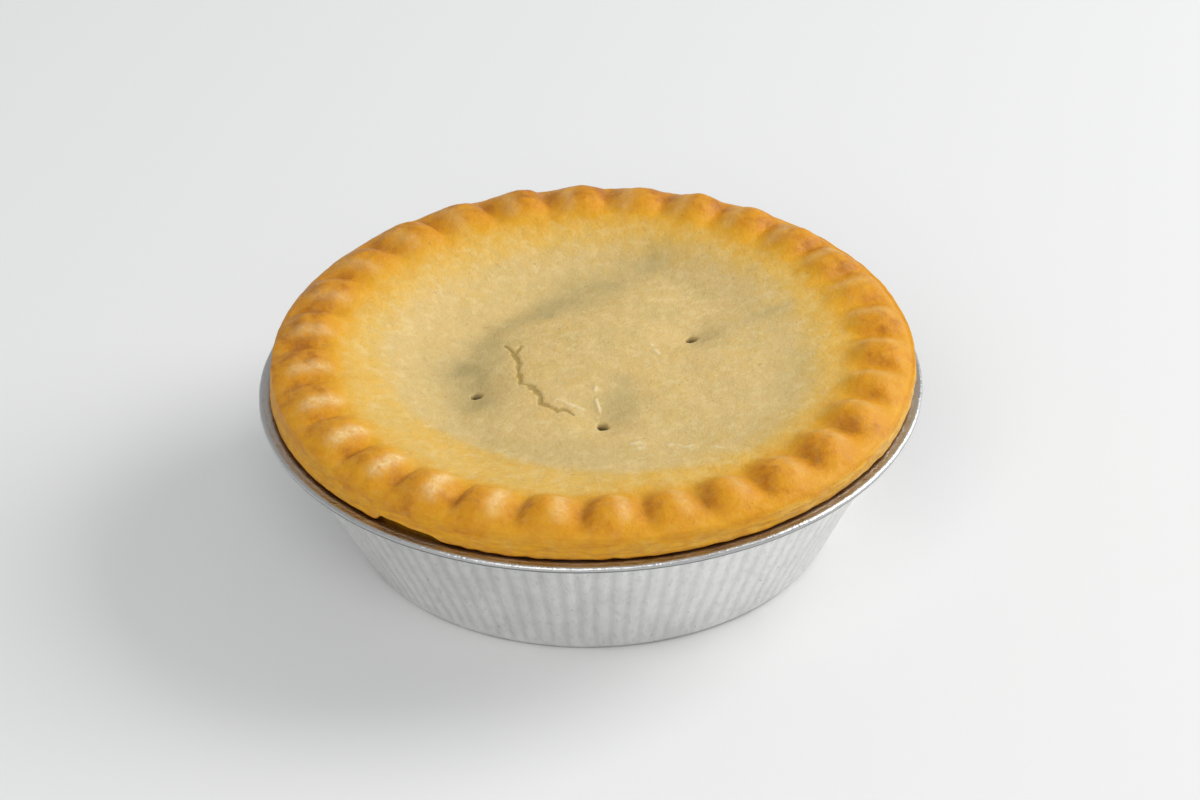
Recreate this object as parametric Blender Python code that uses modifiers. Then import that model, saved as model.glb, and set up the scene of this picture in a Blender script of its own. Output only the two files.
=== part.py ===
"""A round meat pie in its own pleated foil tray.

The pie is one uncut solid: a crimped pastry lid that sags in the middle, on a case that fills
the tray. The tray is thin foil with a rolled rim. +Z is up, the front of the pie faces -Y, and
the origin is the middle of the tray's underside.
"""
import math

import bmesh
import bpy

MM = 0.001

# Foil tray, in millimetres: floor, sloping wall, flat flange and an edge rolled down
TRAY_RADIUS = 60.0
FLANGE_Z = 28.75
FLANGE_INNER_RADIUS = 57.1
FLANGE_LOWER_RADIUS = 57.3
FLANGE_LOWER_Z = 28.2
ROLL_RADIUS = 0.6
ROLL_TURNS = (90.0, 45.0, 0.0, -65.0)
ROLL_INNER_RADIUS = 58.9
ROLL_INNER_Z = 27.8
FOIL = 0.5
BASE_RADIUS = 42.1
BASE_CORNER = 1.5
WALL_FOOT_RADIUS = 43.7
WALL_TOP_RADIUS = 56.7
WALL_TOP_Z = 27.2
FLOOR_EDGE_INSET = 0.5
INNER_FOOT_Z = 2.0
INNER_TOP_Z = 26.5
OUTER_TOP_Z = 26.8
OUTER_FOOT_Z = 3.0
FOOT_CORNER_INSET = 0.4
FOOT_CORNER_Z = 0.7
PLEATS = 110
PLEAT_DEPTH = 0.4
PLEATS_START_Z = 0.3
PLEATS_FULL_Z = 3.0
PLEATS_FADE_Z = 24.5
PLEATS_END_Z = 28.0
SHARP_ANGLE = math.radians(40.0)

# Clearance between the pastry and the foil, and the heights of the case's corners
GAP = 0.35
CASE_SHOULDER_Z = 27.4
CASE_TOP_Z = 26.0
CASE_FOOT_Z = 2.6
CASE_CORNER = 1.6

# Crust: its section at the front, from the lid's rim out and down to the underside. It stands
# higher at the back, and sits a little to the right of the tray's middle and behind it
LID_RIM_RADIUS = 46.0
CRUST_TOP = (
    (46.0, 34.0), (50.0, 34.1), (53.0, 34.05), (55.0, 33.9), (56.5, 33.55), (57.5, 33.05), (58.0, 32.4),
)
CRUST_SIDE = ((58.2, 31.4), (58.05, 30.2), (57.6, 29.4), (56.9, 29.1))
CRUST_RADIUS = 58.2
CRUST_UNDERSIDE_Z = 29.1
CRUST_SIDE_TOP_Z = 32.0
CRUST_OFFSET_X = 0.6
CRUST_OFFSET_Y = 0.5
OFFSET_FROM_RADIUS = 38.0
OFFSET_TO_RADIUS = 52.0
BACK_LIFT = 2.3
BACK_LIFT_AT = math.radians(100.0)
BACK_LIFT_FROM_RADIUS = 32.0
BACK_LIFT_TO_RADIUS = 48.0
UNDERSIDE_SHARE_OF_LIFT = 0.25

# Crimps round the edge: leaning ridges parted by grooves, unevenly spaced
CRIMPS = 29
COLUMNS_IN_CRIMP = (0.0, 0.14, 0.38, 0.62, 0.84)
CRIMP_DEPTH = 2.3
CRIMP_INNER_RADIUS = 44.5
CRIMP_FULL_RADIUS = 50.5
CRIMP_FADE_RADIUS = 52.5
CRIMP_END_RADIUS = 58.6
CRIMP_NARROWING = 1.0
GROOVE_START = math.radians(-8.8)
GROOVE_DRIFT = math.radians(3.8)
GROOVE_DRIFT_PHASE = math.radians(84.0)
GROOVE_CROWDING = math.radians(1.8)
GROOVE_CROWDING_AT = math.radians(305.0)
GROOVE_CROWDING_WIDTH = math.radians(26.0)
GROOVE_SLANT = math.radians(2.2)
GROOVE_SLANT_AT = math.radians(145.0)
GROOVE_SLANT_WIDTH = math.radians(32.0)
GROOVE_SLANT_FROM_RADIUS = 44.0
GROOVE_MIDDLE_RADIUS = 50.0
GROOVE_SOFTNESS = 0.12
RIDGE_ROUNDING = 2.2
RIDGE_LEAN = 0.72

# Uneven pressing of the crimps: two waves round the edge, and two stretches pressed softly
PRESS_WAVE = 0.12
PRESS_WAVE_STEP = 2.4
PRESS_RIPPLE = 0.08
PRESS_RIPPLE_STEP = 5.1
SOFT_LEFT = 0.45
SOFT_LEFT_AT = math.radians(187.0)
SOFT_LEFT_WIDTH = math.radians(22.0)
SOFT_RIGHT = 0.3
SOFT_RIGHT_AT = math.radians(15.0)
SOFT_RIGHT_WIDTH = math.radians(20.0)

# Lid: a low hump ringed by a valley that is deepest on the left and swings out in two places
HUMP_X = 6.0
HUMP_Y = 2.0
HUMP_Z = 31.9
VALLEY_RADIUS = 28.0
VALLEY_Z = 30.8
VALLEY_TILT = 2.2
VALLEY_DEEPEST_AT = math.radians(165.0)
BACK_BULGE = 4.0
BACK_BULGE_AT = math.radians(82.0)
BACK_BULGE_WIDTH = math.radians(22.0)
FRONT_BULGE = 6.0
FRONT_BULGE_AT = math.radians(228.0)
FRONT_BULGE_WIDTH = math.radians(48.0)
RIGHT_NARROWING = 11.0
RIGHT_NARROWING_AT = math.radians(8.0)
RIGHT_NARROWING_WIDTH = math.radians(42.0)
VALLEY_SOFTNESS = 1.8
STRAIGHT_SHARE_OF_SLOPE = 0.7

# Three vent holes, each in a dimple
VENTS = ((-20.5, -4.1), (2.0, -17.9), (18.5, 9.6))
VENT_TOP_RADIUS = 0.85
VENT_TIP_RADIUS = 0.4
VENT_DEPTH = 3.5
VENT_SIDES = 12
DIMPLE_RADIUS = 4.5
DIMPLE_DEPTH = 1.2

# Crack in the lid, left of the middle
CRACK_PATH = (
    (-15.5, 11.0), (-14.0, 8.0), (-13.0, 4.0), (-13.0, 0.0), (-12.5, -3.5), (-10.5, -5.0),
    (-9.0, -8.5), (-9.0, -10.5), (-6.0, -13.5), (-5.0, -13.0), (-3.0, -15.0),
)
CRACK_HALF_WIDTH = 0.5

# The lower edge of the crust lifts off the rim at the front left, where a chip is missing
LIFT_AT = math.radians(222.0)
LIFT_WIDTH = math.radians(19.0)
LIFT_HEIGHT = 0.15
CHIP_FROM = math.radians(229.0)
CHIP_TO = math.radians(243.0)
CHIP_HEIGHT = 1.2
CHIP_LEFT_END = 0.1
CHIP_RIGHT_END = 0.8
CHIP_NARROWING = 0.35

# The lid is turned as a flat disc at this height and then dropped to its shape
LID_DATUM = 45.0
LID_RING_RADII = (
    0.0, 6.5, 13.0, 19.0, 24.5, 29.0, 33.0, 37.5, 42.0, 44.5, 47.0, 49.5, 52.0, 54.5, 56.5, 57.6,
)


def smoothstep(low, high, value):
    """0 below low, 1 above high, with a smooth rise between."""
    t = min(max((value - low) / (high - low), 0.0), 1.0)
    return t * t * (3.0 - 2.0 * t)


def bump(distance, width):
    """A round bump, 1 in the middle and near 0 past twice the width."""
    return math.exp(-((distance / width) ** 2))


def angle_between(first, second):
    """The smaller angle between two directions."""
    return abs((first - second + math.pi) % (2.0 * math.pi) - math.pi)


def groove_angle(phase):
    """Direction of a place in the row of crimps; phase grows evenly by one turn round the pie."""
    crowding = GROOVE_CROWDING * bump(angle_between(phase, GROOVE_CROWDING_AT), GROOVE_CROWDING_WIDTH)
    return phase + GROOVE_START + GROOVE_DRIFT * math.cos(phase + GROOVE_DRIFT_PHASE) - crowding


def groove_slant(angle, radius):
    """How far a groove leans round the pie at a radius; only those at the back left do."""
    lean = GROOVE_SLANT * bump(angle_between(angle, GROOVE_SLANT_AT), GROOVE_SLANT_WIDTH)
    outward = max(radius, GROOVE_SLANT_FROM_RADIUS) - GROOVE_MIDDLE_RADIUS
    return lean * outward / (CRUST_RADIUS - GROOVE_MIDDLE_RADIUS)


def crimp_strength(crimp, angle):
    """How deep one crimp is pressed: uneven, soft on the far left and on the right."""
    wave = PRESS_WAVE * math.sin(PRESS_WAVE_STEP * crimp)
    ripple = PRESS_RIPPLE * math.sin(PRESS_RIPPLE_STEP * crimp + 1.0)
    soft_left = SOFT_LEFT * bump(angle_between(angle, SOFT_LEFT_AT), SOFT_LEFT_WIDTH)
    soft_right = SOFT_RIGHT * bump(angle_between(angle, SOFT_RIGHT_AT), SOFT_RIGHT_WIDTH)
    return (1.0 + wave + ripple) * (1.0 - soft_left - soft_right)


def ridge(share):
    """Height across one crimp, 0 in the grooves on both sides and 1 at its crest."""
    leaning = share ** RIDGE_LEAN
    from_groove = 2.0 * min(leaning, 1.0 - leaning)
    from_groove = math.hypot(from_groove, GROOVE_SOFTNESS) - GROOVE_SOFTNESS
    return 1.0 - (1.0 - from_groove) ** RIDGE_ROUNDING


def crimp_height(radius, share, strength):
    """Height that a crimp adds above its grooves: an egg shape, narrow at both ends."""
    rise = smoothstep(CRIMP_INNER_RADIUS, CRIMP_FULL_RADIUS, radius)
    length = rise * (1.0 - smoothstep(CRIMP_FADE_RADIUS, CRIMP_END_RADIUS, radius))
    return CRIMP_DEPTH * strength * length * ridge(share) ** (1.0 + CRIMP_NARROWING * (1.0 - length))


def rim_height(radius):
    """Height of the crust's top between the crimps at the front, from the lid's rim outwards."""
    place = max(radius, LID_RIM_RADIUS)
    for (x0, z0), (x1, z1) in zip(CRUST_TOP, CRUST_TOP[1:]):
        if place <= x1:
            return z0 + (z1 - z0) * (place - x0) / (x1 - x0)
    return CRUST_TOP[-1][1]


def back_lift(angle):
    """How much higher the crust stands at an angle than at the front."""
    return BACK_LIFT * 0.5 * (1.0 + math.cos(angle - BACK_LIFT_AT))


def valley_distance(around):
    """Distance of the valley from the hump's middle: far at the front left, near on the right."""
    back = BACK_BULGE * bump(angle_between(around, BACK_BULGE_AT), BACK_BULGE_WIDTH)
    front = FRONT_BULGE * bump(angle_between(around, FRONT_BULGE_AT), FRONT_BULGE_WIDTH)
    right = RIGHT_NARROWING * bump(angle_between(around, RIGHT_NARROWING_AT), RIGHT_NARROWING_WIDTH)
    return VALLEY_RADIUS + back + front - right


def lid_height(x, y):
    """Height of the lid at a place, without the crimps."""
    radius = math.hypot(x, y)
    around = math.atan2(y - HUMP_Y, x - HUMP_X)
    valley_radius = valley_distance(around)
    past_valley = math.hypot(x - HUMP_X, y - HUMP_Y) - valley_radius
    rounding = math.hypot(past_valley, VALLEY_SOFTNESS)
    outward = 0.5 * (rounding + past_valley)
    inward = min(0.5 * (rounding - past_valley), valley_radius)
    valley = VALLEY_Z - VALLEY_TILT * math.cos(around - VALLEY_DEEPEST_AT)
    hump = (HUMP_Z - valley) * (1.0 - (1.0 - inward / valley_radius) ** 2)
    share = outward / (outward + max(LID_RIM_RADIUS - radius, 0.0) + 1e-6)
    rise = STRAIGHT_SHARE_OF_SLOPE * share + (1.0 - STRAIGHT_SHARE_OF_SLOPE) * smoothstep(0.0, 1.0, share)
    height = valley + hump * (1.0 - share) + (rim_height(radius) - valley) * rise
    lift = back_lift(math.atan2(y, x)) * smoothstep(BACK_LIFT_FROM_RADIUS, BACK_LIFT_TO_RADIUS, radius)
    dimples = sum(bump(math.hypot(x - vent_x, y - vent_y), DIMPLE_RADIUS) for vent_x, vent_y in VENTS)
    return height + lift - DIMPLE_DEPTH * dimples


def underside_rise(angle):
    """How far the lower edge of the crust is raised; the ends of the chip are abrupt."""
    lift = LIFT_HEIGHT * bump(angle_between(angle, LIFT_AT), LIFT_WIDTH)
    share = (angle % (2.0 * math.pi) - CHIP_FROM) / (CHIP_TO - CHIP_FROM)
    chip = smoothstep(0.0, CHIP_LEFT_END, share) * (1.0 - smoothstep(CHIP_RIGHT_END, 1.0, share))
    return lift + CHIP_HEIGHT * chip * (1.0 - CHIP_NARROWING * share)


def new_material(name, colour, roughness, metallic):
    """A plain finish for one sub-part."""
    material = bpy.data.materials.new(name)
    material.use_nodes = True
    shader = material.node_tree.nodes["Principled BSDF"]
    shader.inputs["Base Color"].default_value = (*colour, 1.0)
    shader.inputs["Roughness"].default_value = roughness
    shader.inputs["Metallic"].default_value = metallic
    return material


def new_collection(name):
    """A collection in the scene."""
    collection = bpy.data.collections.new(name)
    bpy.context.scene.collection.children.link(collection)
    return collection


def turned_mesh(name, profile, columns):
    """The mesh that a profile of (radius, height) points makes when turned about the Z axis."""
    mesh = bpy.data.meshes.new(name + "_profile")
    points = [(radius * MM, 0.0, height * MM) for radius, height in profile]
    mesh.from_pydata(points, [(i, i + 1) for i in range(len(points) - 1)], [])
    guide = bpy.data.objects.new(name + "_profile", mesh)
    bpy.context.scene.collection.objects.link(guide)
    screw = guide.modifiers.new("Turn", "SCREW")
    screw.axis = "Z"
    screw.angle = 2.0 * math.pi
    screw.steps = columns
    screw.render_steps = columns
    screw.use_merge_vertices = True
    screw.merge_threshold = 0.00001
    evaluated = guide.evaluated_get(bpy.context.evaluated_depsgraph_get())
    turned = bpy.data.meshes.new_from_object(evaluated)
    turned.name = name
    bpy.data.objects.remove(guide)
    bpy.data.meshes.remove(mesh)
    return turned


def add_part(name, mesh, material, collection):
    """An object for one sub-part, shaded smooth."""
    part = bpy.data.objects.new(name, mesh)
    mesh.materials.append(material)
    mesh.shade_smooth()
    mesh.set_sharp_from_angle(angle=SHARP_ANGLE)
    collection.objects.link(part)
    return part


def wall_radius(height):
    """Outer radius of the tray's wall at a height, between its pleats."""
    share = (height - BASE_CORNER) / (WALL_TOP_Z - BASE_CORNER)
    return WALL_FOOT_RADIUS + (WALL_TOP_RADIUS - WALL_FOOT_RADIUS) * share


def pleat_share(height):
    """How much of the pleats' depth shows at a height on the wall."""
    fade = smoothstep(PLEATS_FADE_Z, PLEATS_END_Z, height)
    return smoothstep(PLEATS_START_Z, PLEATS_FULL_Z, height) * (1.0 - fade)


def tray_profile():
    """The foil's section, from the middle of the floor inside, over the rim, to the underside."""
    inside = [
        (0.0, FOIL),
        (BASE_RADIUS - FLOOR_EDGE_INSET, FOIL),
        (wall_radius(INNER_FOOT_Z) - FOIL, INNER_FOOT_Z),
        (wall_radius(INNER_TOP_Z) - FOIL, INNER_TOP_Z),
        (FLANGE_INNER_RADIUS, FLANGE_Z),
    ]
    roll = []
    for degrees in ROLL_TURNS:
        turn = math.radians(degrees)
        radius = TRAY_RADIUS - ROLL_RADIUS + ROLL_RADIUS * math.cos(turn)
        roll.append((radius, FLANGE_Z - ROLL_RADIUS + ROLL_RADIUS * math.sin(turn)))
    outside = [
        (ROLL_INNER_RADIUS, ROLL_INNER_Z),
        (FLANGE_LOWER_RADIUS, FLANGE_LOWER_Z),
        (wall_radius(OUTER_TOP_Z), OUTER_TOP_Z),
        (wall_radius(OUTER_FOOT_Z), OUTER_FOOT_Z),
        (WALL_FOOT_RADIUS - FOOT_CORNER_INSET, FOOT_CORNER_Z),
        (BASE_RADIUS, 0.0),
        (0.0, 0.0),
    ]
    return inside + roll + outside


def make_foil_tray(collection):
    """Foil tray: a turned shell with a fold line at each edge of its pleats."""
    columns = 2 * PLEATS
    mesh = turned_mesh("foil_tray", tray_profile(), columns)
    for vertex in mesh.vertices:
        x, y, z = vertex.co
        radius = math.hypot(x, y)
        if radius < MM:
            continue
        column = round(math.atan2(y, x) / (2.0 * math.pi) * columns)
        side = 1.0 if column % 2 else -1.0
        moved = radius + side * 0.5 * PLEAT_DEPTH * MM * pleat_share(z / MM)
        vertex.co = (x * moved / radius, y * moved / radius, z)
    foil = new_material("foil", (0.72, 0.72, 0.71), 0.35, 1.0)
    return add_part("foil_tray", mesh, foil, collection)


def pie_profile():
    """The pie's section, from the middle of the lid, over the edge, down to the tray's floor."""
    inset = FOIL + GAP + 0.5 * PLEAT_DEPTH
    lid = [(radius, LID_DATUM) for radius in LID_RING_RADII]
    side = [CRUST_TOP[-1], *CRUST_SIDE]
    case = [
        (wall_radius(CASE_SHOULDER_Z) - inset, CRUST_UNDERSIDE_Z),
        (wall_radius(CASE_TOP_Z) - inset, CASE_TOP_Z),
        (wall_radius(CASE_FOOT_Z) - inset, CASE_FOOT_Z),
        (BASE_RADIUS - CASE_CORNER, FOIL + GAP),
        (0.0, FOIL + GAP),
    ]
    return lid + side + case


def shape_pie_vertex(position, columns):
    """Where a vertex of the turned pie belongs: crimps, lid, edge and chip."""
    x, y, z = (value / MM for value in position)
    radius = math.hypot(x, y)
    if z < CASE_SHOULDER_Z:
        return position
    if radius < MM:
        return (0.0, 0.0, lid_height(0.0, 0.0) * MM)
    column = round(math.atan2(y, x) / (2.0 * math.pi) * columns) % columns
    crimp, place = divmod(column, len(COLUMNS_IN_CRIMP))
    share = COLUMNS_IN_CRIMP[place]
    angle = groove_angle(2.0 * math.pi * (crimp + share) / CRIMPS)
    angle += groove_slant(angle, radius)
    offset = smoothstep(OFFSET_FROM_RADIUS, OFFSET_TO_RADIUS, radius)
    x = radius * math.cos(angle) + CRUST_OFFSET_X * offset
    y = radius * math.sin(angle) + CRUST_OFFSET_Y * offset
    if z > 0.9 * LID_DATUM:
        z = lid_height(x, y) + crimp_height(radius, share, crimp_strength(crimp, angle))
    else:
        upper = smoothstep(CRUST_UNDERSIDE_Z, CRUST_SIDE_TOP_Z, z)
        z += back_lift(angle) * (UNDERSIDE_SHARE_OF_LIFT + (1.0 - UNDERSIDE_SHARE_OF_LIFT) * upper)
        z += underside_rise(angle) * (1.0 - upper)
    return (x * MM, y * MM, z * MM)


def make_pie_body(collection):
    """The pie as one solid, with its crimped edge and sagging lid."""
    columns = CRIMPS * len(COLUMNS_IN_CRIMP)
    mesh = turned_mesh("pie", pie_profile(), columns)
    for vertex in mesh.vertices:
        vertex.co = shape_pie_vertex(tuple(vertex.co), columns)
    pastry = new_material("pastry", (0.62, 0.36, 0.12), 0.6, 0.0)
    return add_part("pie", mesh, pastry, collection)


def add_cut(target, cutter, label):
    """Cuts the target with another solid, which is then hidden."""
    cutter.hide_render = True
    cutter.display_type = "WIRE"
    cut = target.modifiers.new(label, "BOOLEAN")
    cut.operation = "DIFFERENCE"
    cut.solver = "EXACT"
    cut.object = cutter


def cut_vent_holes(pie, cutters):
    """Three tapered holes that let the steam out."""
    for number, (x, y) in enumerate(VENTS, start=1):
        surface = lid_height(x, y)
        bpy.ops.mesh.primitive_cone_add(
            vertices=VENT_SIDES,
            radius1=VENT_TIP_RADIUS * MM,
            radius2=VENT_TOP_RADIUS * MM,
            depth=2.0 * VENT_DEPTH * MM,
            location=(x * MM, y * MM, surface * MM),
        )
        cutter = bpy.context.object
        cutter.name = f"vent_cutter_{number}"
        for owner in list(cutter.users_collection):
            owner.objects.unlink(cutter)
        cutters.objects.link(cutter)
        add_cut(pie, cutter, f"Vent {number}")


def cut_crack(pie, cutters):
    """The crack in the lid, a thin groove that follows its path over the surface."""
    curve = bpy.data.curves.new("crack_path", "CURVE")
    curve.dimensions = "3D"
    curve.bevel_depth = CRACK_HALF_WIDTH * MM
    curve.bevel_resolution = 1
    curve.use_fill_caps = True
    line = curve.splines.new("POLY")
    line.points.add(len(CRACK_PATH) - 1)
    for point, (x, y) in zip(line.points, CRACK_PATH):
        point.co = (x * MM, y * MM, lid_height(x, y) * MM, 1.0)
    guide = bpy.data.objects.new("crack_path", curve)
    bpy.context.scene.collection.objects.link(guide)
    evaluated = guide.evaluated_get(bpy.context.evaluated_depsgraph_get())
    mesh = bpy.data.meshes.new_from_object(evaluated)
    bpy.data.objects.remove(guide)
    weld_caps(mesh)
    cutter = bpy.data.objects.new("crack_cutter", mesh)
    cutters.objects.link(cutter)
    add_cut(pie, cutter, "Crack")


def weld_caps(mesh):
    """Joins a tube's end caps to its wall, so that it is one closed surface."""
    work = bmesh.new()
    work.from_mesh(mesh)
    bmesh.ops.remove_doubles(work, verts=work.verts, dist=0.00001)
    bmesh.ops.recalc_face_normals(work, faces=work.faces)
    work.to_mesh(mesh)
    work.free()


def main():
    """Builds the pie and its tray in an empty scene."""
    for old in list(bpy.data.objects):
        bpy.data.objects.remove(old)
    parts = new_collection("pie_in_foil_tray")
    cutters = new_collection("cutters")
    make_foil_tray(parts)
    pie = make_pie_body(parts)
    cut_vent_holes(pie, cutters)
    cut_crack(pie, cutters)


main()
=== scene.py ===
# %% [markdown]
# # A savoury pie in its foil tray
# The CAD model of this pie is already right in size and place, but plain. In this lesson we dress
# it: a fine-meshed pastry with browned crimps, and a thin pleated foil tray with a rolled rim.
# The CAD model is loaded first as a frame, in metres, and every new piece is built on its measures.

# %% Load the frame
import math

import bmesh
import bpy
from mathutils import Matrix, Vector, noise


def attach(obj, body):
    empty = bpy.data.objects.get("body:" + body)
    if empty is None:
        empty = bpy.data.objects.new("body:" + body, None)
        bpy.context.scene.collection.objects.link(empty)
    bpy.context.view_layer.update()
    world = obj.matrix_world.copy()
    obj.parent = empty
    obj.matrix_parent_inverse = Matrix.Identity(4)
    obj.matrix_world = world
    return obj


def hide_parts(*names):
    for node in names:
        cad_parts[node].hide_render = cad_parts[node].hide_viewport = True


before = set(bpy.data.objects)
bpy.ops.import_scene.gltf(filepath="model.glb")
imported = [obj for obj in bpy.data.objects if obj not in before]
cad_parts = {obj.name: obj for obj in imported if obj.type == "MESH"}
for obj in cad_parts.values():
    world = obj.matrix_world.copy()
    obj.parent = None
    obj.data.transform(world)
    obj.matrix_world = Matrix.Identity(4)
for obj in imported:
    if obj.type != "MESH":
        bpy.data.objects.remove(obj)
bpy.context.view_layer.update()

MM = 0.001

# %% [markdown]
# ## Camera
# The photograph was taken with a long lens that looks down at about 33 degrees and leans a little
# to one side. A long lens keeps the rim close to a true ellipse. We build the camera's three
# directions ourselves, because a lean is easier to give that way than with angles.

# %% Camera
EYE_ELEVATION = math.radians(32.63)
CAMERA_LEAN = math.radians(-1.40)
CAMERA_DISTANCE = 0.9061
AIM = Vector((0.00165, 0.0, 0.02457))
SENSOR_WIDTH = 36.0
LENS_LENGTH = 150.0
NEAREST_SEEN = 0.01

toward_eye = Vector((0.0, -math.cos(EYE_ELEVATION), math.sin(EYE_ELEVATION)))
level = Vector((1.0, 0.0, 0.0))
upright = toward_eye.cross(level)
image_right = level * math.cos(CAMERA_LEAN) + upright * math.sin(CAMERA_LEAN)
image_up = upright * math.cos(CAMERA_LEAN) - level * math.sin(CAMERA_LEAN)

camera = bpy.data.objects.new("camera", bpy.data.cameras.new("camera"))
bpy.context.scene.collection.objects.link(camera)
turned = Matrix((image_right, image_up, toward_eye)).transposed().to_4x4()
camera.matrix_world = Matrix.Translation(AIM + toward_eye * CAMERA_DISTANCE) @ turned
camera.data.sensor_width = SENSOR_WIDTH
camera.data.lens = LENS_LENGTH
camera.data.clip_start = NEAREST_SEEN
bpy.context.scene.camera = camera
print("camera at", [round(v, 3) for v in camera.location])

# %% [markdown]
# ## Light
# The real light is one large soft source on the right, a little behind the pie, in a bright room:
# the shadow falls to the left and its edge is blurred. A big area light and a pale grey world give
# the same, and a weaker soft light in front opens up the shaded side of the foil. Soft lights are
# big on purpose: the larger a light looks from the pie, the softer its shadow.

# %% Light
LIGHTS_AIM = (0.0, 0.0, 0.02)
WINDOW_PLACE = (0.95, 0.30, 0.62)
WINDOW_SIZE = 0.75
WINDOW_POWER = 11.2
FILL_PLACE = (-0.2, -0.9, 0.9)
FILL_SIZE = 0.9
FILL_POWER = 6.6
ROOM_COLOUR = (0.96, 0.98, 1.0, 1.0)
ROOM_STRENGTH = 0.45

scene = bpy.context.scene
scene.view_settings.view_transform = "Standard"


def add_softbox(name, place, size, power):
    """A square soft light that looks at the middle of the pie."""
    light = bpy.data.lights.new(name, "AREA")
    light.shape = "SQUARE"
    light.size = size
    light.energy = power
    lamp = bpy.data.objects.new(name, light)
    lamp.location = place
    lamp.rotation_euler = (Vector(place) - Vector(LIGHTS_AIM)).to_track_quat("Z", "Y").to_euler()
    scene.collection.objects.link(lamp)


add_softbox("window_light", WINDOW_PLACE, WINDOW_SIZE, WINDOW_POWER)
add_softbox("fill_light", FILL_PLACE, FILL_SIZE, FILL_POWER)

room = bpy.data.worlds.new("bright_room")
room.use_nodes = True
room.node_tree.nodes["Background"].inputs["Color"].default_value = ROOM_COLOUR
room.node_tree.nodes["Background"].inputs["Strength"].default_value = ROOM_STRENGTH
scene.world = room

# %% [markdown]
# ## Floor
# The pie needs something to stand on, or it has no shadow.

# %% Floor
FLOOR_HALF_WIDTH = 3.0
FLOOR_COLOUR = (0.80, 0.80, 0.79, 1.0)
FLOOR_ROUGHNESS = 0.6

floor_mesh = bmesh.new()
bmesh.ops.create_grid(floor_mesh, x_segments=1, y_segments=1, size=FLOOR_HALF_WIDTH)
floor = bpy.data.objects.new("floor", bpy.data.meshes.new("floor"))
floor_mesh.to_mesh(floor.data)
floor_mesh.free()
scene.collection.objects.link(floor)
paper = bpy.data.materials.new("pale_paper")
paper.use_nodes = True
paper_shader = paper.node_tree.nodes["Principled BSDF"]
paper_shader.inputs["Base Color"].default_value = FLOOR_COLOUR
paper_shader.inputs["Roughness"].default_value = FLOOR_ROUGHNESS
floor.data.materials.append(paper)
print("the floor is", 2.0 * FLOOR_HALF_WIDTH, "m wide")

# %% [markdown]
# ## Helpers for soft forms
# Pleats, crimps and dimples have no sharp borders: they swell and fade. Three small curves give all
# of them: a smooth step, a round bump, and a noise that makes each place a little different. They
# are plain functions, so a form made with them can be measured and changed by one number.

# %% Helpers for soft forms


def smoothstep(low, high, value):
    """0 below low, 1 above high, with a smooth rise between."""
    t = min(max((value - low) / (high - low), 0.0), 1.0)
    return t * t * (3.0 - 2.0 * t)


def bump(distance, width):
    """A round bump, 1 in the middle and near 0 past twice the width."""
    return math.exp(-((distance / width) ** 2))


def angle_between(first, second):
    """The smaller angle between two directions."""
    return abs((first - second + math.pi) % (2.0 * math.pi) - math.pi)


def wobble(x, y, z, size, seed=0.0):
    """Smooth unevenness between about -1 and 1, with bumps of one size in millimetres."""
    return noise.noise(Vector((x / size + seed, y / size - seed, z / size + 2.0 * seed)))


print("halfway up a smooth step:", smoothstep(0.0, 1.0, 0.5), "and beside a bump:", round(bump(1.0, 1.0), 2))

# %% [markdown]
# ## Helpers for round pieces
# Both pieces are round, so both are made the way a potter makes a bowl: half a section is drawn as
# a line of vertices, and `bmesh.ops.spin` turns it about the upright axis. Turning only one wedge
# and repeating it keeps the columns of vertices in the same place in every pleat or crimp.

# %% Helpers for round pieces
SAME_PLACE = 0.000001


def section_points(corners, spacing):
    """Points along a line of corners, no further apart than the spacing."""
    points = [corners[0]]
    for (r0, z0), (r1, z1) in zip(corners, corners[1:]):
        pieces = max(1, math.ceil(math.hypot(r1 - r0, z1 - z0) / spacing))
        for i in range(1, pieces + 1):
            points.append((r0 + (r1 - r0) * i / pieces, z0 + (z1 - z0) * i / pieces))
    return points


def turn_section(section, wedges, columns_in_wedge):
    """Spins a line of (radius, height) points, in millimetres, into a wedge, and repeats the wedge."""
    bm = bmesh.new()
    line = [bm.verts.new((radius * MM, 0.0, height * MM)) for radius, height in section]
    edges = [bm.edges.new(pair) for pair in zip(line, line[1:])]
    wedge_angle = 2.0 * math.pi / wedges
    bmesh.ops.spin(bm, geom=line + edges, cent=(0, 0, 0), axis=(0, 0, 1), dvec=(0, 0, 0),
                   angle=wedge_angle, steps=columns_in_wedge, use_merge=False)
    wedge = bm.verts[:] + bm.edges[:] + bm.faces[:]
    for i in range(1, wedges):
        copy = bmesh.ops.duplicate(bm, geom=wedge)["geom"]
        corners = [part for part in copy if isinstance(part, bmesh.types.BMVert)]
        rotation = Matrix.Rotation(i * wedge_angle, 3, "Z")
        bmesh.ops.rotate(bm, verts=corners, cent=(0, 0, 0), matrix=rotation)
    bmesh.ops.remove_doubles(bm, verts=bm.verts, dist=SAME_PLACE)
    bmesh.ops.recalc_face_normals(bm, faces=bm.faces)
    return bm


print("a 10 mm line in steps of 4 mm has", len(section_points([(0.0, 0.0), (10.0, 0.0)], 4.0)), "points")

# %% [markdown]
# ## Showing a piece
# Both pieces ride on the body `root`, because nothing moves.

# %% Showing a piece


def show_piece(bm, name, finish, node):
    """Makes an object of a bmesh that stands for a CAD node."""
    mesh = bpy.data.meshes.new(name)
    bm.to_mesh(mesh)
    bm.free()
    mesh.shade_smooth()
    mesh.materials.append(finish)
    piece = bpy.data.objects.new(name, mesh)
    scene.collection.objects.link(piece)
    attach(piece, "root")
    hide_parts(node)
    print(name, "has", sum(len(p.vertices) - 2 for p in mesh.polygons), "triangles")


print("nodes to stand for:", sorted(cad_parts))

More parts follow.
